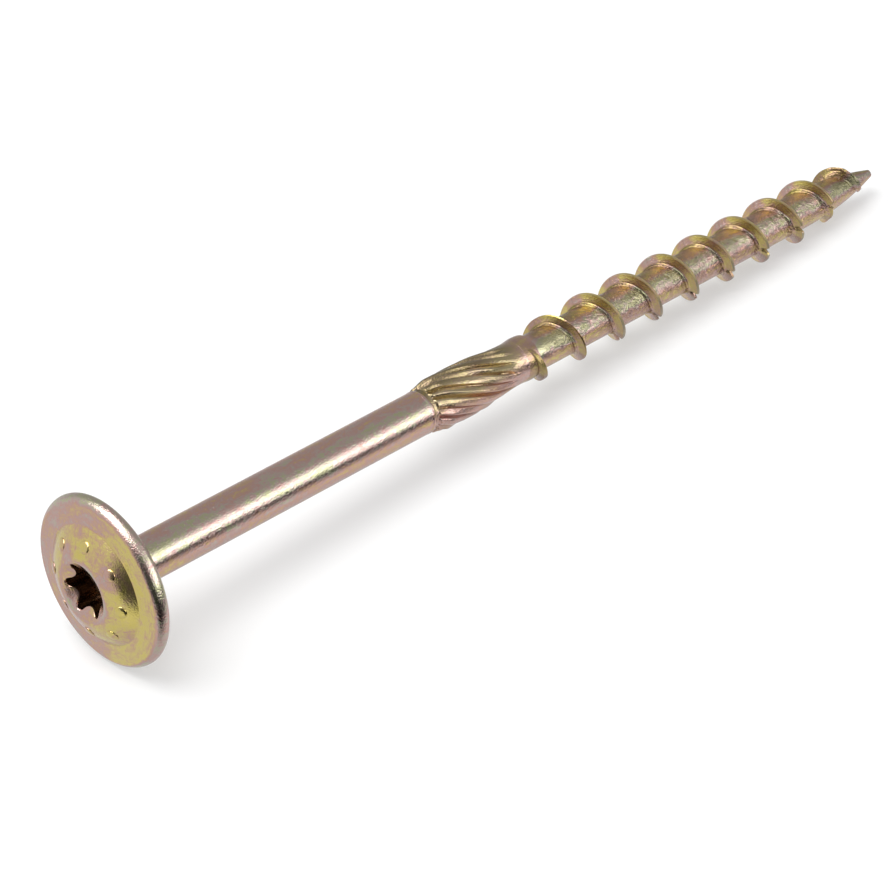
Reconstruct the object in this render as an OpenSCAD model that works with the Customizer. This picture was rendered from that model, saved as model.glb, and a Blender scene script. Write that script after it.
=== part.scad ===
// Construction screw with a washer head, a star recess, a plain shank, a ribbed
// reamer and a coarse notched thread. It lies on its head rim and on one thread
// crest, with its axis along X and its tip towards +X. Sizes are in millimetres.

/* [Head] */
// Diameter of the washer head
head_d = 22; // [20:0.1:24]
// Thickness of the head's rim
rim_t = 2; // [1.6:0.1:2.6]
// Height of the head from its underside to its flat top
head_h = 4.2; // [3.9:0.1:4.8]
// Radius of the rim's upper edge
rim_top_r = 0.65; // [0.4:0.05:0.75]
// Radius of the rim's lower edge
rim_low_r = 0.85; // [0.4:0.05:0.85]
// Diameter of the crease where the raised middle begins
crease_d = 15.6; // [14:0.1:18]
// Rise of the outer ring from the rim's edge to the crease
ring_rise = 0.25; // [0.05:0.05:0.5]
// Diameter of the flat top around the recess
top_d = 8.9; // [8.2:0.1:10]
// Radius of the fillet between the head and the shank
neck_fillet = 0.6; // [0.2:0.05:1]

/* [Drive recess] */
// Distance across the recess between opposite lobe ends
lobe_across = 6.85; // [5.6:0.05:7.4]
// Distance across the recess between opposite ribs
rib_across = 4.85; // [4:0.05:5.4]
// Radius of each lobe's end
lobe_r = 0.6; // [0.5:0.02:0.7]
// Depth of the recess walls below the flat top
recess_depth = 3.1; // [2:0.1:3.3]
// Further depth of the cone at the bottom of the recess
recess_cone = 0.7; // [0.3:0.1:0.9]
// Diameter of the bevel at the mouth of the recess
mouth_d = 7.5; // [7.4:0.05:8]
// Depth of that bevel
mouth_deep = 0.6; // [0.4:0.05:1]
// Turn of the recess about the axis
recess_turn = 8; // [-60:1:60]

/* [Shank] */
// Diameter of the plain shank
shank_d = 5.75; // [5.4:0.05:6.1]
// Length of the plain shank below the head
shank_len = 50.6; // [44:0.1:54]

/* [Reamer] */
// Diameter of the narrow neck between the shank and the reamer
neck_d = 4.9; // [4.4:0.05:5.2]
// Diameter over the reamer's ribs
reamer_d = 7; // [6.4:0.05:7.4]
// Depth of the grooves between the ribs
groove_depth = 0.8; // [0.3:0.05:1]
// Number of ribs
rib_count = 14; // [8:1:16]
// Length along the axis of one full turn of a rib
rib_lead = 50; // [36:1:80]
// Length of the reamer from the shank to where its ribs run out
reamer_len = 15.4; // [13:0.1:18]
// Turn of the ribs about the axis
rib_turn = -4; // [-20:1:20]

/* [Thread] */
// Diameter over the thread
thread_d = 8; // [7.4:0.05:8.4]
// Diameter over the first, lower turn
start_d = 7.5; // [6.8:0.05:7.6]
// Diameter of the core
core_d = 5.15; // [4.8:0.05:5.4]
// Length along the axis of one full turn
pitch = 7.32; // [6.6:0.02:8]
// Width of the thread's crest
crest_w = 0.34; // [0.25:0.02:0.5]
// Angle between each flank and a plane across the axis
flank_deg = 20; // [15:1:25]
// Distance from the head's underside to where the thread begins
thread_from = 66.3; // [62:0.1:70]

/* [Thread notches] */
// Angle around the axis taken by one notch
notch_w = 24; // [15:1:30]
// Part of the thread's height taken by a notch
notch_cut = 0.72; // [0.4:0.02:0.9]
// Turn after which the notches begin
notch_from = 2; // [1:1:4]
// Angle around the axis of the first notch
notch_turn = 188; // [150:1:210]
// Angle by which each notch falls back from the one before it
notch_step = 8.5; // [0:0.5:15]

/* [Tip] */
// Distance from the head's underside to the tip
length = 140; // [130:1:160]
// Length of the taper from the full core to the tip
taper_len = 18; // [14:0.5:22]
// Diameter left at the very end of the tip
tip_d = 0.5; // [0.3:0.05:0.8]
// Length of the flat cut on the point
blade_len = 5; // [3:0.1:6]
// Distance of the flat cut from the axis at the end of the point
blade_off = 0.12; // [0.05:0.01:0.2]
// Turn of the flat cut about the axis
blade_turn = 90; // [0:1:360]

/* [Lying pose] */
// Turn of the whole screw about its axis as it lies
roll = 132.8; // [0:0.1:360]

/* [Hidden] */

head_r = head_d / 2;
shank_r = shank_d / 2;
core_r = core_d / 2;
thread_r = thread_d / 2;
start_r = start_d / 2;
reamer_r = reamer_d / 2;
tip_r = tip_d / 2;
fin_h = thread_r - core_r;
fin_run = fin_h * tan(flank_deg);
fin_w = crest_w + 2 * fin_run;
taper_from = length - taper_len;
reamer_from = shank_len + 0.45;
reamer_to = shank_len + reamer_len;
collar_to = thread_from + 2.8;

// Columns around the axis: five to each rib of the reamer.
cols = rib_count * 5;
col_step = 360 / cols;

function clamp01(v) = max(0, min(1, v));
function ease(v) = clamp01(v) * clamp01(v) * (3 - 2 * clamp01(v));
function mix(a, b, v) = a + (b - a) * v;
function pt(r, a, z) = [r * cos(a), r * sin(a), z];

// Radius over the reamer's ribs, which swells from the neck and then runs out
// into the collar, and the depth of the grooves between them.
swell_to = reamer_from + 0.5 * (reamer_to - reamer_from);
function rib_r(z) =
    mix(reamer_r - 0.25, reamer_r, ease((z - reamer_from) / 2.4))
    - (reamer_r - shank_r) * ease((z - swell_to) / (reamer_to - swell_to));
function groove_at(z) = groove_depth * ease((reamer_to - 0.4 - z) / (0.35 * reamer_len));
function rib_wave(u) = u < 0.4 ? pow(1 - u / 0.4, 2) : pow((u - 0.4) / 0.6, 1.5);
function rib_u(a) = (a * rib_count / 360) - floor(a * rib_count / 360);
function reamer_at(z, a) = rib_r(z) - groove_at(z) * rib_wave(rib_u(a - rib_turn));
function twist(z) = 360 * (z - reamer_to) / rib_lead;

// Radius of the core along the thread, down to the point.
function core_at(z) = mix(core_r, tip_r, pow(clamp01((z - taper_from) / taper_len), 2.3));
function base_at(z) = z <= collar_to ? shank_r : core_at(z);

// Radius over the thread as it runs in, and its height as it runs out.
function over_at(z) =
    z < thread_from + pitch / 2 ? mix(shank_r, start_r, ease(2 * (z - thread_from) / pitch))
    : mix(start_r, thread_r, ease((z - thread_from - pitch) / pitch));
function fade_at(z) = 1 - pow(clamp01((z - taper_from - 0.22 * taper_len) / (0.69 * taper_len)), 3);
function fin_at(z) = (over_at(z) - core_r) * fade_at(z);
function slim_at(z) = mix(0.25, 1, clamp01(fin_at(z) / fin_h) * clamp01((z - thread_from) / 2));

// Share of the thread's height that the notches leave, t turns from its start.
function notch_mid(k) = k * 360 + notch_turn - notch_step * (k - notch_from);
function notch_off(t, k) = abs(t * 360 - notch_mid(k)) / (notch_w / 2);
function notch_keep(t) =
    let (k = floor(t - (notch_turn - 180) / 360 + 0.02 * notch_step))
    k < notch_from ? 1 : 1 - notch_cut * clamp01(1.2 - min(notch_off(t, k), notch_off(t, k - 1)));

// The flat cut limits the radius on one side of the point.
function blade_cap(z, a) =
    let (c = cos(a - blade_turn))
    z < length - blade_len || c < 0.02 ? 99
    : (blade_off + (length - z) * (core_at(length - blade_len) - blade_off) / blade_len) / c;

// Rings of the neck and the reamer. The first one is buried in the shank.
ring_z = concat(
    [shank_len - 3, shank_len + 0.2],
    [for (i = [0 : 10]) mix(reamer_from, reamer_to, i / 10)]
);
rings = len(ring_z);
function ring_pt(i, j) =
    let (z = ring_z[i], a = j * col_step)
    pt(i < 2 ? neck_d / 2 : reamer_at(z, a), a + twist(z), z);

// Four rows wind along the thread: the feet of its flanks and its crest's edges.
foot = [-fin_w / 2, -crest_w / 2, crest_w / 2, fin_w / 2];
steps = floor(cols * (length - 1.5 - thread_from) / pitch);
function row_z(s, m) =
    let (zc = thread_from + pitch * s / cols)
    zc + foot[m] * slim_at(zc);
function row_pt(s, m) =
    let (
        z = row_z(s, m),
        zc = thread_from + pitch * s / cols,
        a = s * col_step,
        up = m == 1 || m == 2 ? fin_at(zc) * notch_keep(s / cols) : 0,
        r = max(base_at(z), core_at(z) + up)
    )
    pt(min(r, blade_cap(z, a)), a, z);

// The screw rests on the rim's lower edge and on one crest that crosses its
// lowest line: the one that meets the surface first as the point goes down.
function crest_r(z) = core_at(z) + fin_at(z);
function low_z(k) = thread_from + pitch * (k + (360 - roll) / 360);
function tilt_for(z, r) =
    let (a = z + crest_w / 2 + rim_low_r, b = head_r - rim_low_r - r)
    atan2(b, a) + asin(rim_low_r / sqrt(a * a + b * b));
tilt = min([for (k = [1 : floor(steps / cols) - 1]) tilt_for(low_z(k), crest_r(low_z(k)))]);
axis_height = (head_r - rim_low_r) * cos(tilt) + rim_low_r - rim_low_r * sin(tilt);
x_low = -head_h * cos(tilt) - (top_d / 2 - 0.1) * sin(tilt);
x_high = length * cos(tilt);
x_shift = -(x_low + x_high) / 2;

// Two more rows wind once before and once beside the first turn, and form the
// end of the collar, where the thick part steps down to the core.
function step_z(s) =
    s < 0 ? min(collar_to, row_z(s + cols, 0) - 0.1)
    : max(collar_to, row_z(s, 3) + 0.08);
function step_pt(s, m) =
    let (
        z = m == 0 ? step_z(s) : s < 0 ? min(collar_to + 0.2, row_z(s + cols, 0) - 0.04) : step_z(s) + 0.2
    )
    pt(base_at(z), s * col_step, z);

tip_z = [
    max(length - 0.9, row_z(steps, 3) + 0.1),
    length - 0.12
];
function tip_pt(i, j) =
    let (z = tip_z[i], a = j * col_step)
    pt(min(core_at(z), blade_cap(z, a)), a, z);

base_row = rings * cols;
base_step = base_row + 4 * (steps - 1);
base_tip = base_step + 2 * (2 * cols - 1);
apex = base_tip + 2 * cols;
rolled_pts = [
    for (i = [0 : rings - 1]) for (j = [0 : cols - 1]) ring_pt(i, j),
    for (s = [1 : steps - 1]) for (m = [0 : 3]) row_pt(s, m),
    for (s = [1 - cols : cols - 1]) for (m = [0 : 1]) step_pt(s, m),
    for (i = [0 : 1]) for (j = [0 : cols - 1]) tip_pt(i, j),
    [0, 0, length]
];

// Numbers of the points. The winding rows all grow out of one point of the last
// ring, and all end in one point of the tip's first ring.
function ring_i(i, j) = i * cols + j % cols;
function tip_i(i, j) = base_tip + i * cols + j % cols;
function row_i(s, m) =
    s <= 0 ? ring_i(rings - 1, 0)
    : s >= steps ? tip_i(0, steps)
    : base_row + 4 * (s - 1) + m;
function step_i(s, m) =
    s <= -cols ? ring_i(rings - 1, 0)
    : s >= cols ? (m == 0 ? row_i(cols, 3) : row_i(2 * cols, 0))
    : base_step + 2 * (s + cols - 1) + m;
function under_i(s) = s < 0 ? ring_i(rings - 1, s + cols) : row_i(s, 3);

// Two triangles for each four points, less those that have shrunk to a line.
function tri(a, b, c) = a == b || b == c || a == c ? [] : [[a, b, c]];
function quad(a, b, c, d) = concat(tri(a, b, c), tri(a, c, d));
rolled_faces = [
    [for (j = [0 : cols - 1]) j],
    for (i = [0 : rings - 2])
        for (j = [0 : cols - 1])
            each quad(ring_i(i, j), ring_i(i + 1, j), ring_i(i + 1, j + 1), ring_i(i, j + 1)),
    for (s = [0 : steps - 1])
        for (m = [0 : 2])
            each quad(row_i(s, m), row_i(s, m + 1), row_i(s + 1, m + 1), row_i(s + 1, m)),
    for (s = [-cols : cols - 1])
        each concat(
            quad(under_i(s), step_i(s, 0), step_i(s + 1, 0), under_i(s + 1)),
            quad(step_i(s, 0), step_i(s, 1), step_i(s + 1, 1), step_i(s + 1, 0)),
            quad(step_i(s, 1), row_i(s + cols, 0), row_i(s + cols + 1, 0), step_i(s + 1, 1))
        ),
    for (s = [cols : steps - cols - 1])
        each quad(row_i(s, 3), row_i(s + cols, 0), row_i(s + cols + 1, 0), row_i(s + 1, 3)),
    for (s = [steps - cols : steps - 1])
        each quad(row_i(s, 3), tip_i(0, s), tip_i(0, s + 1), row_i(s + 1, 3)),
    for (j = [0 : cols - 1])
        each concat(
            quad(tip_i(0, j), tip_i(1, j), tip_i(1, j + 1), tip_i(0, j + 1)),
            [[tip_i(1, j), apex, tip_i(1, j + 1)]]
        )
];

// The neck, the reamer, the collar, the thread and the point are one rolled form.
module rolled() {
    polyhedron(points = rolled_pts, faces = rolled_faces, convexity = 12);
}

function arc(cx, cy, r, from, to, n) =
    [for (i = [0 : n]) let (a = mix(from, to, i / n)) [cx + r * cos(a), cy + r * sin(a)]];

// Half outline of the head and the shank, turned about the axis.
module head_and_shank() {
    rotate_extrude($fn = 72)
        polygon(concat(
            [[0, shank_len], [shank_r, shank_len]],
            arc(shank_r + neck_fillet, neck_fillet, neck_fillet, 180, 270, 3),
            arc(head_r - rim_low_r, -rim_low_r, rim_low_r, 90, 0, 3),
            arc(head_r - rim_top_r, -rim_t + rim_top_r, rim_top_r, 0, -80, 3),
            [
                [crease_d / 2 + 0.3, -rim_t - ring_rise],
                [crease_d / 2 - 0.3, -rim_t - ring_rise - 0.12],
                [mix(crease_d, top_d, 0.35) / 2, -mix(rim_t + ring_rise, head_h, 0.34)],
                [top_d / 2 + 0.4, -head_h + 0.16],
                [top_d / 2, -head_h],
                [0, -head_h]
            ]
        ));
}

// The star is a ring of lobe ends and inward ribs that meet at a tangent.
lobe_c = lobe_across / 2 - lobe_r;
rib_in = rib_across / 2;
rib_end_r = (lobe_c * lobe_c + rib_in * rib_in - 2 * lobe_c * rib_in * cos(30) - lobe_r * lobe_r)
    / (2 * (lobe_r - rib_in + lobe_c * cos(30)));
rib_c = rib_in + rib_end_r;
meet_a = atan2(rib_c * sin(30), rib_c * cos(30) - lobe_c);
function star_pts(n) = [
    for (k = [0 : 5])
        each concat(
            [for (i = [0 : n]) let (a = mix(-meet_a, meet_a, i / n))
                [lobe_c * cos(60 * k) + lobe_r * cos(60 * k + a), lobe_c * sin(60 * k) + lobe_r * sin(60 * k + a)]],
            [for (i = [1 : n - 1]) let (a = mix(180 + meet_a, 240 - meet_a, i / n))
                [rib_c * cos(60 * k + 30) + rib_end_r * cos(60 * k + a), rib_c * sin(60 * k + 30) + rib_end_r * sin(60 * k + a)]]
        )
];
module recess() {
    translate([0, 0, -head_h])
        rotate([0, 0, recess_turn]) {
            translate([0, 0, -1])
                linear_extrude(recess_depth + 1)
                    polygon(star_pts(5));
            translate([0, 0, recess_depth - 0.01])
                cylinder(h = recess_cone, r1 = rib_in - 0.05, r2 = 0.3, $fn = 36);
            translate([0, 0, -0.01])
                cylinder(h = mouth_deep + 0.01, r1 = mouth_d / 2, r2 = rib_in - 0.1, $fn = 60);
        }
}

module screw() {
    color([0.78, 0.7, 0.5])
        translate([x_shift, 0, axis_height])
            rotate([0, 90 + tilt, 0])
                rotate([0, 0, roll])
                    union() {
                        difference() {
                            head_and_shank();
                            recess();
                        }
                        rolled();
                    }
}

screw();
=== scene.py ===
# %% [markdown]
# A long wood screw with a wide washer head, lying on a white table. It is one
# piece of cold-forged steel: a blank is headed, the drive recess is pressed in,
# the thread and the reamer are rolled on, and the whole is zinc plated and
# yellow passivated. This file shows how to model each of those marks in Blender.
#
# The imported solid gives the frame, so it is loaded first.

# %% The frame
import math

import bpy
import numpy as np
from mathutils import Matrix, Vector


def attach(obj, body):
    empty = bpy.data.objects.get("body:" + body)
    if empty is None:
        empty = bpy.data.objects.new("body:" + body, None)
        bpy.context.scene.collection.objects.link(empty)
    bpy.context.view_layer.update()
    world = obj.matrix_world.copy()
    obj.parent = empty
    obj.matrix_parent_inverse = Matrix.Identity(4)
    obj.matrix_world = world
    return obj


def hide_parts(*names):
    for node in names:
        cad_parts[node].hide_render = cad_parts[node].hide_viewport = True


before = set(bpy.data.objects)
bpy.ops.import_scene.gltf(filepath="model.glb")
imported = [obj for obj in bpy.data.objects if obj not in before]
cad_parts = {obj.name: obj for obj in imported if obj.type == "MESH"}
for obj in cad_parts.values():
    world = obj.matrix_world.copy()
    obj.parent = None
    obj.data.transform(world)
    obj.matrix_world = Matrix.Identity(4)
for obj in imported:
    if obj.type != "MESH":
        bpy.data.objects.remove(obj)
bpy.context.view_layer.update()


# %% [markdown]
# Every size is in millimetres and is measured along the screw itself: z runs
# from the underside of the head to the point, and an angle turns about the axis.
# The screw lies on the rim of its head and on one crest of the thread, so its
# axis dips a little towards the point. One matrix carries each finished piece
# from these own coordinates into the scene, in metres.

# %% Where the screw lies
LENGTH = 140.0
HEAD_R = 11.0
SHANK_R = 2.875
AXIS_DIP = 3.22022
ROLL = 132.8
UNDERSIDE = (-67.6706, 0.0, 10.9362)

LIE = (
    Matrix.Scale(0.001, 4)
    @ Matrix.Translation(UNDERSIDE)
    @ Matrix.Rotation(math.radians(90 + AXIS_DIP), 4, "Y")
    @ Matrix.Rotation(math.radians(ROLL), 4, "Z")
)
axis = (LIE.to_3x3() @ Vector((0, 0, 1))).normalized()
print("axis of the screw:", [round(c, 4) for c in axis])

# %% [markdown]
# The camera looks down from beside the head. Its place was found by fitting the
# outline of the head and of the thread in the picture, with a long lens, so the
# far end shrinks only a little.

# %% The camera
CAMERA_PLACE = (-231.437, -220.188, 241.4535)
CAMERA_RIGHT = (0.710581, -0.703615, 0.0)
CAMERA_UP = (0.431576, 0.435849, 0.789796)
LENS = 124.763


def add_camera():
    right, up = Vector(CAMERA_RIGHT), Vector(CAMERA_UP)
    right.normalize()
    back = right.cross(up).normalized()
    up = back.cross(right)
    data = bpy.data.cameras.new("camera")
    data.lens = LENS
    data.sensor_width = 36.0
    data.clip_start = 0.01
    camera = bpy.data.objects.new("camera", data)
    turn = Matrix((right, up, back)).transposed().to_4x4()
    camera.matrix_world = Matrix.Translation(Vector(CAMERA_PLACE) * 0.001) @ turn
    bpy.context.scene.collection.objects.link(camera)
    bpy.context.scene.camera = camera
    return camera


add_camera()
print("camera at", CAMERA_PLACE, "mm with a", LENS, "mm lens")

# %% [markdown]
# Both the shapes and the finish are written as sums. A socket of a node tree is
# wrapped in a small class, so that an expression on it adds the Math nodes, and
# the same class serves Geometry Nodes and shaders.

# %% Sockets as numbers
class Num:
    """One socket of a node tree that can be reckoned with."""

    def __init__(self, kit, socket):
        self.kit, self.socket = kit, socket

    def _sum(self, operation, *values):
        node = self.kit.add("ShaderNodeMath", {"operation": operation}, dict(enumerate(values)))
        return self.kit.out(node)

    def __add__(self, other):
        return self._sum("ADD", self, other)

    def __radd__(self, other):
        return self._sum("ADD", other, self)

    def __sub__(self, other):
        return self._sum("SUBTRACT", self, other)

    def __rsub__(self, other):
        return self._sum("SUBTRACT", other, self)

    def __mul__(self, other):
        return self._sum("MULTIPLY", self, other)

    def __rmul__(self, other):
        return self._sum("MULTIPLY", other, self)

    def __truediv__(self, other):
        return self._sum("DIVIDE", self, other)

    def __rtruediv__(self, other):
        return self._sum("DIVIDE", other, self)

    def __pow__(self, other):
        return self._sum("POWER", self, other)

    def __neg__(self):
        return self._sum("MULTIPLY", self, -1.0)

    def __abs__(self):
        return self._sum("ABSOLUTE", self)

    def least(self, other):
        return self._sum("MINIMUM", self, other)

    def most(self, other):
        return self._sum("MAXIMUM", self, other)

    def over(self, other):
        return self._sum("GREATER_THAN", self, other)

    def fract(self):
        return self._sum("FRACT", self)

    def sin(self):
        return self._sum("SINE", self)

    def cos(self):
        return self._sum("COSINE", self)

    def root(self):
        return self._sum("SQRT", self)

    def arc_sin(self):
        return self._sum("ARCSINE", self)

    def angle_to(self, other):
        return self._sum("ARCTAN2", self, other)

    def clamp(self):
        return self.most(0.0).least(1.0)

    def ease(self):
        """0 to 1 with a soft start and end."""
        t = self.clamp()
        return t * t * (3.0 - 2.0 * t)

    def ramp(self, low, high):
        """0 below low, 1 above high, straight between them."""
        return ((self - low) / (high - low)).clamp()

    def step(self, low, high):
        return ((self - low) / (high - low)).ease()

    def hump(self, middle, half):
        """1 at the middle, 0 at half on each side of it, soft."""
        return (1.0 - abs(self - middle) / half).ease()

    def mix(self, a, b):
        """a where this is 0, b where it is 1."""
        return a + self * (b - a)


class Kit:
    """Adds nodes to one tree."""

    def __init__(self, tree):
        self.tree = tree

    def add(self, kind, settings=None, inputs=None):
        node = self.tree.nodes.new(kind)
        for name, value in (settings or {}).items():
            if name == "stops":
                self._set_stops(node.color_ramp, value)
            else:
                setattr(node, name, value)
        for key, value in (inputs or {}).items():
            socket = node.inputs[key]
            if isinstance(value, Num):
                self.tree.links.new(value.socket, socket)
            elif isinstance(value, bpy.types.NodeSocket):
                self.tree.links.new(value, socket)
            elif value is not None:
                socket.default_value = value
        return node

    def _set_stops(self, ramp, stops):
        while len(ramp.elements) < len(stops):
            ramp.elements.new(1.0)
        for element, (place, colour) in zip(ramp.elements, stops):
            element.position = place
            element.color = (*colour, 1.0)

    def out(self, node, key=0):
        return Num(self, node.outputs[key])

    def split(self, vector):
        node = self.add("ShaderNodeSeparateXYZ", None, {0: vector})
        return [self.out(node, i) for i in range(3)]

    def join(self, x, y, z):
        return self.out(self.add("ShaderNodeCombineXYZ", None, {0: x, 1: y, 2: z}))


def knots(value, places, levels):
    """A broken line through the given places and levels, as a sum of ramps."""
    total = levels[0]
    for p, q, a, b in zip(places, places[1:], levels, levels[1:]):
        if not (isinstance(a, float) and isinstance(b, float) and a == b):
            total = total + value.ramp(p, q) * (b - a)
    return total


print("socket class ready")

# %% [markdown]
# The head is turned work with a pressed drive in it. It could be a spun profile
# with a cut-out, but the cut leaves long thin faces at the mouth of the recess.
# So it is woven instead: one ring of points after another, from the neck over
# the rim and the dome to the bottom of the recess. Each ring uses the same
# angles as the points of the star, and the walls fall straight out of the weave.

# %% The star of the drive recess
LOBE_ACROSS = 6.95
RIB_ACROSS = 4.85
LOBE_END = 0.58
RECESS_TURN = 8.0
FLOOR_OF_RECESS = -1.1


def star_outline(points):
    """Angle in degrees and radius of the points around a six-lobed star."""
    lobe_c = LOBE_ACROSS / 2 - LOBE_END
    rib_in = RIB_ACROSS / 2
    c30 = math.cos(math.radians(30))
    top = lobe_c**2 + rib_in**2 - 2 * lobe_c * rib_in * c30 - LOBE_END**2
    rib_end = top / (2 * (LOBE_END - rib_in + lobe_c * c30))
    rib_c = rib_in + rib_end
    meet = math.degrees(math.atan2(rib_c * 0.5, rib_c * c30 - lobe_c))
    out = []
    for k in range(6):
        arcs = [(lobe_c, 0, LOBE_END, -meet, meet), (rib_c, 30, rib_end, 180 + meet, 240 - meet)]
        for centre, at, radius, start, end in arcs:
            for i in range(points):
                a = math.radians(start + (end - start) * i / points)
                x = centre * math.cos(math.radians(at)) + radius * math.cos(a)
                y = centre * math.sin(math.radians(at)) + radius * math.sin(a)
                out.append((math.degrees(math.atan2(y, x)) + 60 * k, math.hypot(x, y)))
    return np.array(out)


STAR = star_outline(22)
star_least, star_most = STAR[:, 1].min().round(2), STAR[:, 1].max().round(2)
print("star points:", len(STAR), "radius from", star_least, "to", star_most)

# %% [markdown]
# The profile of the head goes outwards over the underside and back over the top.
# The side of the rim leans in a soft curve to a rather sharp front edge.
# The dome is a little fuller than a cone, gentle at its flat top and steeper
# towards the crease, because that is how the die leaves it, and the dark
# reflection beside the crease shows it.

# %% The profile of the head
RIM_T = 2.0
HEAD_H = 4.2
CREASE_R = 7.8
TOP_R = 4.5
MOUTH_R = 3.72
SINK = 0.85
# Way from the crease to the flat top, and the slope of the dome there in degrees.
DOME_SLOPES = [(0.0, 43.0), (0.3, 39.0), (0.6, 27.0), (1.0, 19.0)]


def arc(cx, cz, radius, start, end, steps):
    angles = np.radians(np.linspace(start, end, steps + 1))
    return [(cx + radius * math.cos(a), cz + radius * math.sin(a)) for a in angles]


def dome(steps):
    """Points from the crease up to the flat top, steeper at the crease."""
    ways, leans = zip(*DOME_SLOPES)
    slopes = np.tan(np.radians(np.interp(np.linspace(0, 1, steps), ways, leans)))
    rise = np.concatenate([[0.0], np.cumsum(slopes)])
    rise *= (HEAD_H - 0.03 - (RIM_T + 0.25)) / rise[-1]
    radii = np.linspace(CREASE_R - 0.06, TOP_R, steps + 1)
    return [(r, -(RIM_T + 0.25) - h) for r, h in zip(radii, rise)]


def head_profile():
    inside = [(0.001, 0.9), (SHANK_R - 0.3, 0.9), (SHANK_R - 0.02, 0.75)]
    neck = arc(SHANK_R + 0.6, 0.6, 0.6, 180, 270, 8)
    under = [(r, 0.0) for r in np.linspace(4.2, HEAD_R - 1.0, 8)]
    low_edge = arc(HEAD_R - 0.85, -0.85, 0.85, 90, 0, 12)
    side = arc(HEAD_R - 1.35, -0.85, 1.35, 0, -60, 12)
    corner_r, corner_z = side[-1]
    corner = arc(corner_r - 0.11, corner_z + 0.1905, 0.22, -66, -87, 4)
    # The ring falls a little towards the crease.
    ring_radii = np.linspace(10.0, CREASE_R + 0.12, 8)
    ring = [(r, corner_z - 0.03 - 0.19 * (10.1 - r) / 2.3) for r in ring_radii]
    crease = [(CREASE_R + 0.03, -RIM_T - 0.25), (CREASE_R, -RIM_T - 0.255)]
    top = [(TOP_R - 0.12, -HEAD_H + 0.004), (TOP_R - 0.3, -HEAD_H), (MOUTH_R + 0.06, -HEAD_H)]
    return inside + neck + under + low_edge + side + corner + ring + crease + dome(14) + top


PROFILE = head_profile()
print("points in the head's profile:", len(PROFILE))

# %% [markdown]
# The rings are joined with four-sided faces. The star's own ring lies on a
# shallow cone, which is the bevel at the mouth, and its walls go down nearly
# straight, a little narrower at the floor, as the punch has to come out again.

# %% The head as one woven mesh
def weave(name, rings, smooth_below):
    """Joins rings of equal length into a closed skin, with the ends drawn to the axis."""
    count = len(rings[0])
    points = np.concatenate(rings)
    faces = []
    for i in range(len(rings) - 1):
        for j in range(count):
            a, b = i * count + j, i * count + (j + 1) % count
            faces.append((a, b, b + count, a + count))
    mesh = bpy.data.meshes.new(name)
    mesh.from_pydata(points.tolist(), [], faces)
    return tidy_skin(mesh, smooth_below)


def tidy_skin(mesh, smooth_below):
    """Merges doubles, turns the faces outwards and keeps only real edges sharp."""
    import bmesh

    work = bmesh.new()
    work.from_mesh(mesh)
    bmesh.ops.remove_doubles(work, verts=work.verts, dist=0.004)
    bmesh.ops.dissolve_degenerate(work, edges=work.edges, dist=0.0005)
    bmesh.ops.recalc_face_normals(work, faces=work.faces)
    if work.calc_volume(signed=True) < 0:
        bmesh.ops.reverse_faces(work, faces=work.faces)
    open_edges = sum(1 for e in work.edges if len(e.link_faces) != 2)
    work.to_mesh(mesh)
    work.free()
    mesh.shade_smooth()
    mesh.set_sharp_from_angle(angle=math.radians(smooth_below))
    print(mesh.name, "faces:", len(mesh.polygons), "open edges:", open_edges)
    return mesh


def head_mesh():
    angles = np.radians(STAR[:, 0] + RECESS_TURN)
    star = STAR[:, 1]
    even = np.ones(len(star))
    shape = [(r * even, z * even) for r, z in PROFILE]

    def cone_height(r):
        return -HEAD_H + SINK * np.clip((MOUTH_R - r) / (MOUTH_R - RIB_ACROSS / 2), 0, 1) ** 0.95

    shape.append((MOUTH_R * even, (-HEAD_H + 0.03) * even))
    for t in (0.25, 0.5, 0.75, 0.95):
        r = MOUTH_R - 0.03 + t * (star + 0.03 - MOUTH_R + 0.03)
        shape.append((r, cone_height(r)))
    edge = cone_height(star)
    shape.append((star - 0.01, edge + 0.05))
    for t in np.linspace(0.08, 1.0, 12):
        shape.append((star - 0.02 - 0.09 * t, edge + 0.05 + t * (FLOOR_OF_RECESS - edge)))
    for t in (0.8, 0.5, 0.2, 0.001):
        shape.append((star * t, (FLOOR_OF_RECESS + 0.7 * (1 - t)) * even))
    rings = [np.stack([r * np.cos(angles), r * np.sin(angles), z], 1) for r, z in shape]
    return weave("head", rings, 34)


def lay(mesh, name):
    """Carries a mesh from its own millimetres to its place in the scene."""
    mesh.transform(LIE)
    mesh.update()
    piece = bpy.data.objects.new(name, mesh)
    bpy.context.scene.collection.objects.link(piece)
    return piece


head = lay(head_mesh(), "head")

# %% [markdown]
# The shank and the reamer are one bar. The reamer's ribs are what a maker would
# call helical: they turn once in fifty-four millimetres. They follow a rule, so the
# bar is a Geometry Nodes tree: a flat grid whose one side is the angle and whose
# other side is the length is wrapped round the axis, and its radius is reckoned
# from both. The columns of the grid turn with the ribs, so each groove stays on
# its own columns and keeps a clean line.

# %% A tree that wraps a grid round the axis
def new_tree(name, sizes):
    """An empty tree with named number inputs and a geometry output."""
    tree = bpy.data.node_groups.new(name, "GeometryNodeTree")
    tree.interface.new_socket("Geometry", in_out="INPUT", socket_type="NodeSocketGeometry")
    tree.interface.new_socket("Geometry", in_out="OUTPUT", socket_type="NodeSocketGeometry")
    for label, (kind, value) in sizes.items():
        socket = tree.interface.new_socket(label, in_out="INPUT", socket_type=kind)
        if value is not None:
            socket.default_value = value
    kit = Kit(tree)
    entry = kit.add("NodeGroupInput")
    values = {label: kit.out(entry, label) for label in sizes}
    return kit, values


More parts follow.
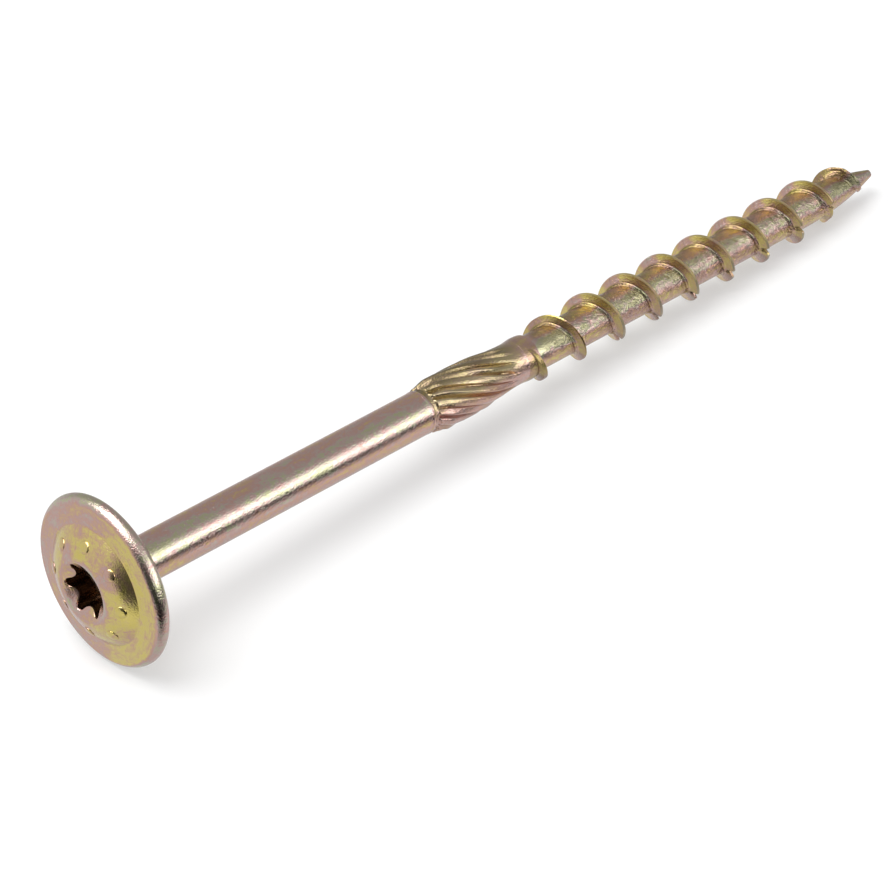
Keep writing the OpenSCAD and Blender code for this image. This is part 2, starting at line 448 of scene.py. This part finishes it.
def grid_field(kit, across, along):
    """A grid of points and its two sides as numbers from 0 to 1."""
    grid = kit.add(
        "GeometryNodeMeshGrid",
        None,
        {"Size X": 1.0, "Size Y": 1.0, "Vertices X": across, "Vertices Y": along},
    )
    x, y, _ = kit.split(kit.out(kit.add("GeometryNodeInputPosition")))
    return grid, x + 0.5, y + 0.5


def finish_tree(kit, grid, radius, angle, z, soot, material):
    """Wraps the grid, notes where shade and highlights are painted, gives it its finish and ends
    the tree.

    The painted shade is 1 where it is darkest and -1 where a highlight is painted."""
    place = kit.join(radius * angle.cos(), radius * angle.sin(), z)
    moved = kit.add(
        "GeometryNodeSetPosition",
        None,
        {"Geometry": grid.outputs["Mesh"], "Position": place},
    )
    noted = kit.add(
        "GeometryNodeStoreNamedAttribute",
        {"data_type": "FLOAT", "domain": "POINT"},
        {"Geometry": moved.outputs[0], "Name": "soot", "Value": soot.least(1.0).most(-1.0)},
    )
    real = kit.add("GeometryNodeRealizeInstances", None, {0: noted.outputs[0]})
    done = kit.add("GeometryNodeSetMaterial", None, {0: real.outputs[0], "Material": material})
    leave = kit.add("NodeGroupOutput")
    kit.tree.links.new(done.outputs[0], leave.inputs[0])


def grow(name, kit, sizes, smooth_below):
    """Runs the tree on an empty mesh and keeps the result as a plain mesh."""
    seed = bpy.data.objects.new(name + "_seed", bpy.data.meshes.new(name + "_seed"))
    bpy.context.scene.collection.objects.link(seed)
    modifier = seed.modifiers.new("tree", "NODES")
    modifier.node_group = kit.tree
    for item in kit.tree.interface.items_tree:
        if item.in_out == "INPUT" and item.name in sizes:
            modifier[item.identifier] = sizes[item.name]
    bpy.context.view_layer.update()
    result = seed.evaluated_get(bpy.context.evaluated_depsgraph_get())
    mesh = bpy.data.meshes.new_from_object(result)
    mesh.name = name
    seed.modifiers.remove(modifier)
    bpy.data.objects.remove(seed)
    return tidy_skin(mesh, smooth_below)


FLOAT, WHOLE, COATING = "NodeSocketFloat", "NodeSocketInt", "NodeSocketMaterial"
zinc = bpy.data.materials.new("yellow_zinc")
print("tree helpers ready")

# %% [markdown]
# Plain round pips stand on the dome at even steps. They could be modelled one by
# one, but a tree that puts one pip on every point of a circle keeps them even.

# %% Pips on the dome
PIP_CIRCLE = 6.0
PIP_LIFT = 0.04
PIP_SIZES = {
    "Count": (WHOLE, 8),
    "Circle": (FLOAT, PIP_CIRCLE),
    "Pip radius": (FLOAT, 0.8),
    "Pip height": (FLOAT, 0.22),
    "Slope": (FLOAT, 31.0),
    "Level": (FLOAT, -3.4),
    "Finish": (COATING, None),
}


def pip_tree():
    kit, size = new_tree("pips", PIP_SIZES)
    circle = kit.add(
        "GeometryNodeMeshCircle",
        None,
        {"Vertices": size["Count"], "Radius": size["Circle"]},
    )
    ball = kit.add("GeometryNodeMeshUVSphere", None, {"Segments": 28, "Rings": 14, "Radius": 1.0})
    broad = size["Pip radius"]
    pip = kit.add(
        "GeometryNodeTransform",
        None,
        {"Geometry": ball.outputs[0], "Scale": kit.join(broad, broad, size["Pip height"])},
    )
    x, y, _ = kit.split(kit.out(kit.add("GeometryNodeInputPosition")))
    lean = (size["Slope"] * math.radians(1.0)).sin() / size["Circle"]
    out = kit.join(x * lean, y * lean, (size["Slope"] * math.radians(1.0)).cos() * -1.0)
    aim = kit.add("FunctionNodeAlignRotationToVector", {"axis": "Z"}, {"Vector": out})
    lifted = kit.add(
        "GeometryNodeSetPosition",
        None,
        {"Geometry": circle.outputs[0], "Offset": kit.join(0.0, 0.0, size["Level"])},
    )
    spread = kit.add(
        "GeometryNodeInstanceOnPoints",
        None,
        {"Points": lifted.outputs[0], "Instance": pip.outputs[0], "Rotation": aim.outputs[0]},
    )
    real = kit.add("GeometryNodeRealizeInstances", None, {0: spread.outputs[0]})
    done = kit.add(
        "GeometryNodeSetMaterial",
        None,
        {0: real.outputs[0], "Material": size["Finish"]},
    )
    leave = kit.add("NodeGroupOutput")
    kit.tree.links.new(done.outputs[0], leave.inputs[0])
    return kit


# The dome gives the level and the slope where the circle of pips stands.
dome_radii, dome_levels = np.array(dome(14)).T[:, ::-1]
dome_leans = np.gradient(dome_levels, dome_radii)
pip_level = float(np.interp(PIP_CIRCLE, dome_radii, dome_levels))
pip_slope = float(np.degrees(np.arctan(np.interp(PIP_CIRCLE, dome_radii, dome_leans))))
print("pips stand at level", round(pip_level, 2), "on a slope of", round(pip_slope, 1))
pip_place = {"Level": pip_level + PIP_LIFT, "Slope": pip_slope, "Finish": zinc}
pips = lay(grow("pips", pip_tree(), pip_place, 60), "pips")

# %% [markdown]
# Along the bar come the plain shank, a thin burr where the rolling dies began, a
# narrow step, and the ribs, which rise quickly, stand highest a third of the way
# along and sink into a plain collar. Fourteen grooves part the ribs.

# %% The shank, the reamer and the collar
PAIR_DEGREES = 51.43
BAR_SIZES = {
    "Columns": (WHOLE, 337),
    "Rows": (WHOLE, 160),
    "Shank radius": (FLOAT, SHANK_R),
    "Shank end": (FLOAT, 50.1),
    "Rib radius": (FLOAT, 3.5),
    "Groove depth": (FLOAT, 0.6),
    "Pairs of ribs": (FLOAT, 7.0),
    "Turn of the ribs": (FLOAT, 25.6),
    "Rib lead": (FLOAT, 54.0),
    "Rib end": (FLOAT, 66.0),
    "Collar end": (FLOAT, 69.15),
    "Finish": (COATING, None),
}


def bar_tree():
    kit, size = new_tree("bar", BAR_SIZES)
    grid, around, along = grid_field(kit, size["Columns"], size["Rows"])
    shank_to, end, rib_end = size["Shank end"], size["Collar end"], size["Rib end"]
    # The rows crowd together at the burr and at the ends.
    z = knots(
        along,
        [0.0, 0.015, 0.09, 0.23, 0.26, 0.82, 0.97, 1.0],
        [0.45, 0.45, shank_to - 0.8, shank_to + 1.2, shank_to + 1.5, rib_end, end, end],
    )
    turn = (z - rib_end).least(0.0).most(shank_to - rib_end) * 360.0 / size["Rib lead"]
    own = around * 360.0

    # Ribs come in pairs: a broad one with a steep side, and one with a long slope
    # that ends in a narrow ridge.
    pair = 360.0 / size["Pairs of ribs"]
    phase = ((own - size["Turn of the ribs"]) / pair + 20.0).fract() * PAIR_DEGREES
    rib = knots(
        phase,
        [0.0, 2.5, 7.0, 15.0, 21.5, 25.2, 28.0, 37.0, 40.5, 43.0, PAIR_DEGREES],
        [0.0, 0.74, 0.98, 1.0, 0.86, 0.05, 0.46, 0.88, 1.0, 0.84, 0.0],
    )
    swell = z.step(shank_to + 0.8, shank_to + 3.0)
    sink = z.step(shank_to + 8.0, rib_end - 0.1)
    thick = size["Rib radius"] - size["Shank radius"]
    over = size["Shank radius"] + 0.22 + swell * (thick - 0.22) - sink * thick
    depth = size["Groove depth"] * z.step(rib_end - 0.1, rib_end - 3.4)
    ribbed = over - (1.0 - rib) * depth

    # The burr at the end of the shank, the plain step behind it, and the collar.
    burr = z.hump(shank_to - 0.25, 0.22) * 0.05
    bulge = z.hump(68.2, 1.9) * 0.13
    step = z.step(shank_to + 0.05, shank_to + 0.2) * 0.09
    ribs_from = z.step(shank_to + 0.66, shank_to + 0.86)
    radius = ribs_from.mix(size["Shank radius"] - step, ribbed) + burr + bulge
    close = along.over(0.001) * (1.0 - along.over(0.999))
    radius = radius * close
    angle = (own + turn) * math.radians(1.0)
    # Painted shade fills the grooves.
    soot = (1.0 - rib / 0.4).clamp() * depth / size["Groove depth"] * ribs_from
    # The step gets painted shade too, with one darker painted pit, and the narrow
    # ridges get a painted highlight, as the picture shows them.
    pit = (own + turn).hump(105.5, 5.0) * 2.0
    soot = soot + z.hump(shank_to + 0.45, 0.4) * (0.4 + pit)
    soot = soot - phase.hump(40.5, 2.2) * depth * 1.2
    finish_tree(kit, grid, radius, angle, z, soot, size["Finish"])
    return kit


bar = lay(grow("shank_and_reamer", bar_tree(), {"Finish": zinc}, 40), "shank_and_reamer")

# %% [markdown]
# The thread, its core and the point are one long ribbon wound along the axis.
# One side of the grid goes round and round, the other goes across one pitch:
# over the core, up one flank, over the narrow crest and down again. Where one
# turn ends the next begins, so merging the doubles closes the skin.
#
# Every turn after the second has a notch, which cuts the wood fibres. The notches
# fall back a little from one turn to the next. Each one has a slit at the foot of
# the thread, darkened with painted shade, and behind it the thread stands up as a
# round tooth.

# %% The thread and the point
TURNS_BEFORE = 1.25
TURNS = 11.9
END_ROUND = 0.55
THREAD_SIZES = {
    "Steps": (WHOLE, 1667),
    "Rows": (WHOLE, 44),
    "Turns": (FLOAT, TURNS),
    "Pitch": (FLOAT, 7.32),
    "Start": (FLOAT, 66.3),
    "Thread radius": (FLOAT, 4.0),
    "First radius": (FLOAT, 3.75),
    "Core radius": (FLOAT, 2.575),
    "Crest width": (FLOAT, 0.34),
    "Flank run": (FLOAT, 0.52),
    "Length": (FLOAT, LENGTH),
    "Taper": (FLOAT, 18.0),
    "Notch depth": (FLOAT, 0.6),
    "Finish": (COATING, None),
}


def thread_tree():
    kit, size = new_tree("thread", THREAD_SIZES)
    grid, along, across = grid_field(kit, size["Steps"], size["Rows"])
    pitch, crest, length = size["Pitch"], size["Crest width"], size["Length"]
    t = along * size["Turns"] - TURNS_BEFORE
    middle = size["Start"] + pitch * t

    # The core narrows to the point, and the thread with it.
    way = ((middle - (length - size["Taper"])) / size["Taper"]).clamp()
    fade = 1.0 - t.step(8.85, 9.66)
    rise = t.step(0.14, 0.5)
    full = t.step(1.0, 2.0)
    first = size["First radius"]
    over = rise.mix(SHANK_R, first) + full * (size["Thread radius"] - first)
    fin = (over - size["Core radius"]) * fade * t.step(-0.3, 0.0)
    slim = 0.25 + 0.75 * (fin / 1.425).clamp()
    # The first turn is blunt, as the metal only begins to flow there.
    blunt = 1.0 - t.step(0.55, 1.15)
    edge = crest * 0.5 * slim + blunt * 0.2
    foot = edge + size["Flank run"] * slim

    # Where a point lies across the ribbon: rows crowd on the flanks and the crest.
    w = knots(
        across,
        [0.0, 0.2, 0.34, 0.49, 0.58, 0.74, 0.86, 1.0],
        [
            pitch * -0.5,
            foot * -1.0 - 1.0,
            foot * -1.0,
            edge * -1.0,
            edge,
            foot,
            foot + 0.8,
            pitch * 0.5,
        ],
    )

    # The notch: distance in degrees from the nearest one, less than 0 before it.
    spacing = 1.0 - 10.5 / 360.0
    phase = (t - 206.0 / 360.0) / spacing
    off = ((phase + 0.5).fract() - 0.5) * (360.0 * spacing)
    notched = t.over(2.1) * (1.0 - t.over(9.1))
    bite = (1.0 - (off * -1.0 / 9.0).most(off / 7.5)).clamp() * 1.15
    keep = 1.0 - size["Notch depth"] * bite.least(1.0) * notched
    # The last teeth are lower behind their notch.
    behind = off.step(2.0, 10.0) * (1.0 - off.step(60.0, 100.0))
    keep = keep * (1.0 - t.step(7.3, 8.3) * behind * notched * 0.5)

    z = middle + w
    way_z = ((z - (length - size["Taper"])) / size["Taper"]).clamp()
    core = size["Core radius"] + (way_z**2.3) * (0.42 - size["Core radius"])

    # Height of the thread across the ribbon, a little hollow on the flanks. On
    # the last turn the crest spreads towards the point.
    last = t.step(8.75, 9.1) * (1.0 - t.step(9.7, 9.95))
    spread = last * 0.62
    reach = (w * -1.0).most(w - spread).most(0.0)
    share = ((foot - reach) / (foot - edge)).clamp()
    hollow = share * (0.8 + 0.2 * share)
    height = fin * keep * hollow

    # Marks of rolling: a crease at the foot, a fold on the first crests.
    body = middle.step(size["Start"] + 3.0, size["Start"] + 6.0)
    lip = w.hump(-1.05, 0.3) * 0.03 - w.hump(-0.8, 0.12) * 0.06
    core = core + lip * body * fade
    fold = w.hump(0.0, 0.12) * (1.0 - t.step(1.6, 2.4)) * t.over(0.6) * 0.14

    # The slit beside each notch leans across the ribbon.
    lean = w + 1.18 + off * 0.035
    slit = lean.hump(0.0, 0.26) * (off + 4.0).hump(0.0, 13.0) * notched
    heel = (w + 0.72).hump(0.0, 0.42) * (off - 3.0).hump(0.0, 13.0) * notched

    radius = core + height - fold - slit * 0.5 + heel * 0.3

    # The last turn has steps pressed along its crest.
    steps = abs((w / 0.34 + 0.3).fract() - 0.5) * 2.0 - 0.4
    radius = radius + steps * share * last * fin * 0.3

    # A flat cut faces one way on the point.
    angle = t * (2.0 * math.pi)
    facing = (angle - math.radians(90)).cos()
    left = (length - z).most(0.0)
    cut = (0.12 + left * 0.42) / facing.most(0.02)
    flat = (1.0 - left.over(5.0)) * facing.over(0.02)
    radius = flat.mix(radius, radius.least(cut))
    z = z.least(length)
    # The very end is round, and rows beyond it close on the axis.
    radius = radius * (1.0 - ((z - length + END_ROUND) / END_ROUND).clamp() ** 2.0).root()
    radius = radius * (1.0 - (middle + w - length).over(0.0))
    # Painted shade in the slits, on the folds, at the foot of the thread and between the pressed
    # steps.
    soot = slit * 1.8 + fold * 3.0
    soot = soot + w.hump(foot * -1.0 - 0.25, 0.45) * 0.4 * body
    soot = soot + (0.35 - steps) * last * share * 1.3
    finish_tree(kit, grid, radius, angle, z, soot, size["Finish"])
    return kit


thread = lay(grow("thread_and_point", thread_tree(), {"Finish": zinc}, 36), "thread_and_point")
for piece in (head, pips, bar, thread):
    if not piece.data.materials:
        piece.data.materials.append(zinc)

# %% [markdown]
# The finish is zinc with a yellow passivation. That film is thinner than light
# is long, so its colour changes with its thickness. The order used here, straw,
# gold, peach, mauve, grey and a little green, was judged from the picture. A
# picture of the stains would be one way. Here the thickness itself is made, from
# soft noise and from pools on the head, and a ramp turns it into colour, so
# neighbouring patches always meet in the same order.
#
# A Mapping node takes the object's coordinates back to the screw's own, in
# millimetres, and everything else is reckoned from those.

# %% The screw's own coordinates in the shader
zinc.use_nodes = True
zinc.node_tree.nodes.clear()
paint = Kit(zinc.node_tree)


def own_place(kit):
    place, turn, _ = LIE.decompose()
    coords = kit.add("ShaderNodeTexCoord")
    back = kit.add(
        "ShaderNodeMapping",
        {"vector_type": "TEXTURE"},
        {
            "Vector": coords.outputs["Object"],
            "Location": place,
            "Rotation": turn.to_euler(),
            "Scale": (0.001,) * 3,
        },
    )
    return kit.out(back)


own = own_place(paint)
own_x, own_y, own_z = paint.split(own)
out_r = (own_x * own_x + own_y * own_y).root()


def noise(kit, vector, scale, detail=2.0, rough=0.5, twist=0.0, stretch=None):
    """Soft noise from 0 to 1, with its scale in humps for each millimetre."""
    if stretch:
        longer = kit.add("ShaderNodeVectorMath", {"operation": "MULTIPLY"}, {0: vector, 1: stretch})
        vector = kit.out(longer)
    node = kit.add(
        "ShaderNodeTexNoise",
        {"noise_dimensions": "3D"},
        {
            "Vector": vector,
            "Scale": scale,
            "Detail": detail,
            "Roughness": rough,
            "Distortion": twist,
        },
    )
    return kit.out(node, "Fac" if "Fac" in node.outputs else 0)


print("own coordinates ready")

# %% [markdown]
# The mean thickness for each side of the head, the bar and the thread was set so
# that its colour comes near the picture's, and soft noise then shifts it. A dark
# brown is mixed in as well. In the grooves, the slits and the recess it is painted
# shade. Its weights by side (near_side, near_line, low_side, low_line,
# top_side, top_line and right_side) were also matched to the picture, so a part
# of it is painted shade that the room doesn't give, and not dirt. That is a weak
# point of this finish: it makes the far side of the screw darker than the near side.
# A room that gives all of that shade would let these weights go.

# %% The thickness of the film
head_part = 1.0 - own_z.step(0.2, 1.2)
ring_part = head_part * out_r.step(7.6, 7.9)
dome_part = head_part - ring_part
fin_part = own_z.over(67.0) * out_r.step(2.75, 3.15) * (1.0 - own_z.over(131.0))
reamer_part = own_z.step(50.0, 50.2) * (1.0 - own_z.step(64.0, 69.0))

patches = noise(paint, own, 0.34, 3.0, 0.55, 0.6, (1.0, 1.0, 0.38)) - 0.5
spots = noise(paint, own, 1.5, 6.0, 0.72, 0.7, (1.0, 1.0, 0.5)) - 0.5
grain = noise(paint, own, 6.5, 3.0, 0.7) - 0.5
# On the head the stains run round the axis.
round_x, round_y = own_x / (out_r + 0.2) * 2.6, own_y / (out_r + 0.2) * 2.6
streaks = noise(paint, paint.join(round_x, round_y, out_r), 1.15, 4.0, 0.7, 0.4) - 0.5
# Thin veins between patches of film.
vein = noise(paint, own, 0.9, 4.0, 0.65, 1.2) - 0.5
vein = (1.0 - abs(vein) / 0.03).clamp()


def pool(across, down, radius):
    """A soft round spot on the head, placed in millimetres from its middle."""
    x, y = own_y - across, own_x * -1.0 - down
    return (1.0 - (x * x + y * y).root() / radius).ease()


# On the outer ring the film is thick on one side and thin on the other.
side = (own_y - own_x) / 13.4
rim_part = ring_part * out_r.step(10.1, 10.7)
ring_film = side.step(-0.05, 0.5).mix(0.58, 0.2) * (1.0 - rim_part) + rim_part * 0.82
dome_film = 0.27 + (own_y * -1.0).step(1.5, 7.0) * 0.55
dome_film = dome_film + (1.0 - out_r.step(3.9, 5.0)) * 0.24
dome_film = dome_film + pool(4.6, -0.6, 3.4) * 0.3 + pool(1.0, -5.0, 1.8) * 0.3
dome_film = dome_film + out_r.hump(3.95, 0.3) * 0.15
dome_film = dome_film - pool(5.0, 5.0, 3.4) * 0.2 - pool(3.2, -4.3, 1.6) * 0.25
# Sides of the bar: -1 to 1 from its far side to the side that the picture shows,
# and from its upper to its lower side.
to_near = own_y / (out_r + 0.01)
to_low = own_x * -1.0 / (out_r + 0.01)
near_side, near_line = to_near.step(0.45, 0.9), to_near.step(0.78, 1.0)
low_side, low_line = to_low.step(0.2, 0.66), to_low.step(0.9, 0.98)
top_side = (to_near * 0.574 - to_low * 0.819).step(0.86, 1.0)
top_line = (to_low * -1.0).step(0.86, 0.98)
right_side = (to_near * 0.8 + to_low * 0.6).step(0.3, 0.95)
# Along the bar the film is mauve, with olive on its nearest line and pink on its
# lower side. The flanks of the thread are yellower at the top.
core_here = own_z.step(69.0, 71.0)
bar_film = 0.6 + near_line * (1.0 - core_here - reamer_part).clamp() * 0.24
bar_film = bar_film - reamer_part * (0.28 - low_side * 0.26)
bar_film = bar_film - core_here * (0.26 - low_side * 0.13 - near_line * 0.62)
fin_film = 0.32 - top_side * out_r.step(3.2, 3.6) * 0.26
fin_film = fin_film + abs(to_low).step(0.88, 1.0) * 0.32
film = ring_part * ring_film + dome_part * dome_film
film = film + (1.0 - head_part) * fin_part.mix(bar_film, fin_film)
calm = 1.0 - reamer_part * 0.45 - fin_part * 0.25
film = film + patches * (1.1 - ring_part * 0.5) * calm
film = film + spots * 1.25 * calm * (1.0 - head_part * 0.4)
film = film + streaks * head_part * 1.1 + grain * 0.5 + vein * 0.16

FILM_STOPS = [
    (0.0, (0.68, 0.56, 0.17)),
    (0.2, (0.68, 0.56, 0.21)),
    (0.42, (0.62, 0.43, 0.25)),
    (0.62, (0.58, 0.36, 0.32)),
    (0.8, (0.55, 0.42, 0.38)),
    (0.92, (0.52, 0.47, 0.37)),
    (1.0, (0.50, 0.48, 0.30)),
]
stain = paint.add("ShaderNodeValToRGB", {"stops": FILM_STOPS}, {0: film.clamp()})

# Painted shade darkens the recess, the grooves and the slits, a painted highlight
# brightens the narrow ridges, and the crest of the thread is a paler grey. The
# weights by side are the ones named above.
soot = paint.out(paint.add("ShaderNodeAttribute", {"attribute_name": "soot"}), "Fac")
below = own_z + HEAD_H - (MOUTH_R - out_r) * (SINK / (MOUTH_R - RIB_ACROSS / 2))
recess_part = head_part * (1.0 - out_r.step(3.5, 3.6)) * below.step(0.05, 0.35)
first_turn = fin_part * (1.0 - own_z.step(74.0, 77.0))
thread_part = own_z.step(69.0, 71.0)
crest = fin_part * out_r.step(3.86, 3.93) * own_z.over(70.0)
dirt_and_shade = recess_part * 0.72 + soot.clamp() * 0.8
dirt_and_shade = dirt_and_shade + reamer_part * (0.64 - low_side * 0.6 - near_line * 0.36)
dirt_and_shade = dirt_and_shade + thread_part * (1.0 - fin_part) * (0.53 - low_side * 0.49 - near_line * 0.34)
dirt_and_shade = dirt_and_shade + fin_part * (right_side * 0.34 + top_line * 0.12) + first_turn * 0.2
dirt_and_shade = dirt_and_shade + (1.0 - head_part) * low_line * 0.2
dirt_and_shade = dirt_and_shade + crest * (near_side * 0.25 + top_side * 0.2)
# Pale zinc where the crest shows wear, and a painted highlight on the narrow ridges of the reamer.
wear_and_highlight = crest * (0.12 + grain * 2.0 + low_side * 0.4).clamp()
wear_and_highlight = wear_and_highlight + (soot * -1.0).clamp() * 0.8 + reamer_part * (1.0 - low_side) * 0.28

# A pale zinc for wear and painted highlights, and a dark brown for dirt and painted shade.
WORN_AND_HIGHLIT_ZINC = (0.62, 0.62, 0.57, 1.0)
DIRT_AND_SHADE = (0.11, 0.07, 0.025, 1.0)


def blend(kit, share, under, upper):
    """Lays the upper colour over the other by a share from 0 to 1."""
    node = kit.add("ShaderNodeMix", {"data_type": "RGBA"}, {0: share, 6: under, 7: upper})
    return node.outputs[2]


worn_and_highlit = blend(paint, wear_and_highlight.clamp(), stain.outputs["Color"], WORN_AND_HIGHLIT_ZINC)
colour = blend(paint, dirt_and_shade.clamp(), worn_and_highlit, DIRT_AND_SHADE)
print("film stops:", len(FILM_STOPS))

# %% [markdown]
# The surface itself is drawn wire that was hammered by the rolling dies. It is
# smooth on the shank, with a fine grain, and dimpled between the threads. A Bump
# node gives both, because they are far too small to model.

# %% The grain of the surface
core_part = own_z.step(70.0, 73.0) * (1.0 - out_r.step(2.7, 2.9))
fine = noise(paint, own, 4.8, 2.0, 0.6)
dimple = noise(paint, own, 0.95, 3.0, 0.6, 0.9, (1.0, 1.0, 0.8))
crack = noise(paint, own, 1.2, 3.0, 0.6, 1.5) - 0.5
crack = (1.0 - abs(crack) / 0.014).clamp() * core_part * patches.step(-0.06, 0.06)
rough_part = reamer_part * 0.3 + fin_part * 0.4 + core_part * 1.2
edge_part = head_part * own_z.step(-2.1, -1.7)
height = fine * (1.25 + rough_part - head_part * 0.65 + edge_part * 0.8)
dents = core_part * (4.5 - own_z.step(127.0, 131.0) * 3.0) + reamer_part * 0.8
height = height + dimple * dents - crack * 1.6
bump = paint.add("ShaderNodeBump", None, {"Strength": 1.0, "Distance": 0.00004, "Height": height})

roughness = 0.15 + grain * 0.15 + core_part * 0.04 + (head_part + reamer_part) * 0.03
roughness = roughness + fin_part * 0.05 + crest * 0.25
metal = paint.add(
    "ShaderNodeBsdfPrincipled",
    None,
    {
        "Base Color": colour,
        "Metallic": 1.0,
        "Roughness": roughness.clamp(),
        "Normal": bump.outputs["Normal"],
    },
)
leave = paint.add("ShaderNodeOutputMaterial")
paint.tree.links.new(metal.outputs[0], leave.inputs["Surface"])
print("zinc nodes:", len(zinc.node_tree.nodes))

# %% [markdown]
# The studio is a white sheet and a room that is pale all round, with one long
# soft window low in front and a dark gap under it, which the polished steel
# shows as a white streak with a dark one beside it. The room is a world shader
# that reads the direction of a ray, which gives soft edges without any object.
# The camera itself sees plain white. Where the window, the gap and the dim parts
# lie was worked out from what the steel mirrors in the picture, so they suit that
# view best, and the ring of the head turns nearly black in some others.

# %% The room
ROOM_LEVEL = 0.8
WINDOW_LEVEL = 3.1


def room():
    world = bpy.data.worlds.new("room")
    bpy.context.scene.world = world
    world.use_nodes = True
    world.node_tree.nodes.clear()
    kit = Kit(world.node_tree)
    way = kit.out(kit.add("ShaderNodeTexCoord"), "Generated")
    x, y, z = kit.split(way)
    turn = y.angle_to(x) * (180.0 / math.pi)
    lift = z.least(1.0).most(-1.0).arc_sin() * (180.0 / math.pi)
    # Low on the east side the walls are a shade darker.
    far_side = turn.step(-60.0, -25.0) * (1.0 - turn.step(70.0, 105.0))
    level = ROOM_LEVEL - lift.step(-22.0, -4.0) * far_side * 0.33
    front = (y * -1.0).step(0.0, 0.3)
    level = level + lift.hump(-33.0, 20.0) * front * 0.15 - (1.0 - lift.step(-72.0, -44.0)) * 0.1
    side = turn.step(-108.0, -94.0) * (1.0 - turn.step(-46.0, -28.0))
    window = side * lift.step(8.0, 11.5) * (1.0 - lift.step(18.0, 42.0))
    # The dark gap under the window, and the dim side where the camera stands.
    gap_low = turn.ramp(-95.0, -56.0).mix(-46.0, -17.0)
    gap = turn.step(-150.0, -128.0) * (1.0 - turn.step(-46.0, -20.0))
    gap = gap * (1.0 - lift.step(3.0, 8.0)) * ((lift - gap_low) / 9.0 + 0.5).ease()
    east = ((turn + 136.0) / 360.0 + 0.5).fract() * 360.0 - 180.0
    low = (east + 14.0) * -0.8 - 24.0
    zone = east.step(-47.0, -33.0) * (1.0 - east.step(34.0, 54.0))
    zone = zone * ((lift - low.most(-44.0)) / 14.0 + 0.5).ease() * (1.0 - lift.step(44.0, 66.0))
    deep = (((east + 4.0) / 36.0) ** 2.0 + ((lift + 2.0) / 42.0) ** 2.0).root()
    dim = (1.0 - zone * 0.56) * (1.0 - zone * (1.25 - deep).ramp(0.0, 0.6).ease() * 0.74)
    path = kit.add("ShaderNodeLightPath")
    seen, spread = kit.out(path, "Is Camera Ray"), kit.out(path, "Is Diffuse Ray")
    level = level * (1.0 - gap * 0.92) * dim + window * WINDOW_LEVEL * (1.0 - spread)
    room_light = kit.add("ShaderNodeBackground", None, {"Color": (1, 1, 1, 1), "Strength": level})
    plain = kit.add("ShaderNodeBackground", None, {"Color": (1, 1, 1, 1), "Strength": 1.0})
    mixed = kit.add(
        "ShaderNodeMixShader",
        None,
        {0: seen, 1: room_light.outputs[0], 2: plain.outputs[0]},
    )
    leave = kit.add("ShaderNodeOutputWorld")
    kit.tree.links.new(mixed.outputs[0], leave.inputs["Surface"])
    return world


room()
print("room ready")

# %% [markdown]
# The sheet on the table catches the soft shadow of one lamp above. It gives off
# a part of its white towards the camera only, so it looks white in the picture
# and throws no more light on the screw. The steel shows the room instead of it.

# %% The table and the lamp
SHEET_GREY = (0.5, 0.5, 0.5, 1)
SHEET_GLOW = 0.42


def add_table():
    side = 3.0
    mesh = bpy.data.meshes.new("table")
    corners = [(-side, -side, 0), (side, -side, 0), (side, side, 0), (-side, side, 0)]
    mesh.from_pydata(corners, [], [(0, 1, 2, 3)])
    table = bpy.data.objects.new("table", mesh)
    bpy.context.scene.collection.objects.link(table)
    table.visible_glossy = False
    white = bpy.data.materials.new("table_white")
    white.use_nodes = True
    white.node_tree.nodes.clear()
    kit = Kit(white.node_tree)
    sheet = kit.add("ShaderNodeBsdfDiffuse", None, {"Color": SHEET_GREY})
    seen = kit.out(kit.add("ShaderNodeLightPath"), "Is Camera Ray")
    glow = kit.add(
        "ShaderNodeEmission",
        None,
        {"Color": (1, 1, 1, 1), "Strength": seen * SHEET_GLOW},
    )
    both = kit.add("ShaderNodeAddShader", None, {0: sheet.outputs[0], 1: glow.outputs[0]})
    leave = kit.add("ShaderNodeOutputMaterial")
    kit.tree.links.new(both.outputs[0], leave.inputs["Surface"])
    mesh.materials.append(white)
    return table


def add_lamp(name, turn, lift, far, wide, deep, power):
    """A soft window of light that looks at the middle of the screw."""
    a, e = math.radians(turn), math.radians(lift)
    way = Vector((math.cos(e) * math.cos(a), math.cos(e) * math.sin(a), math.sin(e)))
    data = bpy.data.lights.new(name, "AREA")
    data.shape = "RECTANGLE"
    data.size, data.size_y = wide, deep
    data.energy = power
    lamp = bpy.data.objects.new(name, data)
    lamp.location = way * far
    lamp.rotation_euler = way.to_track_quat("Z", "Y").to_euler()
    bpy.context.scene.collection.objects.link(lamp)
    return lamp


add_table()
add_lamp("window_above", 150, 66, 0.9, 0.7, 0.7, 7.5)
bpy.context.scene.view_settings.view_transform = "Standard"
print("studio ready")

# %% [markdown]
# The pack holds the screw as one solid on one body. All the pieces ride on that
# body and stand for that solid, which is hidden.

# %% Onto the body
for piece in (head, pips, bar, thread):
    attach(piece, "root")
    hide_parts("screw")
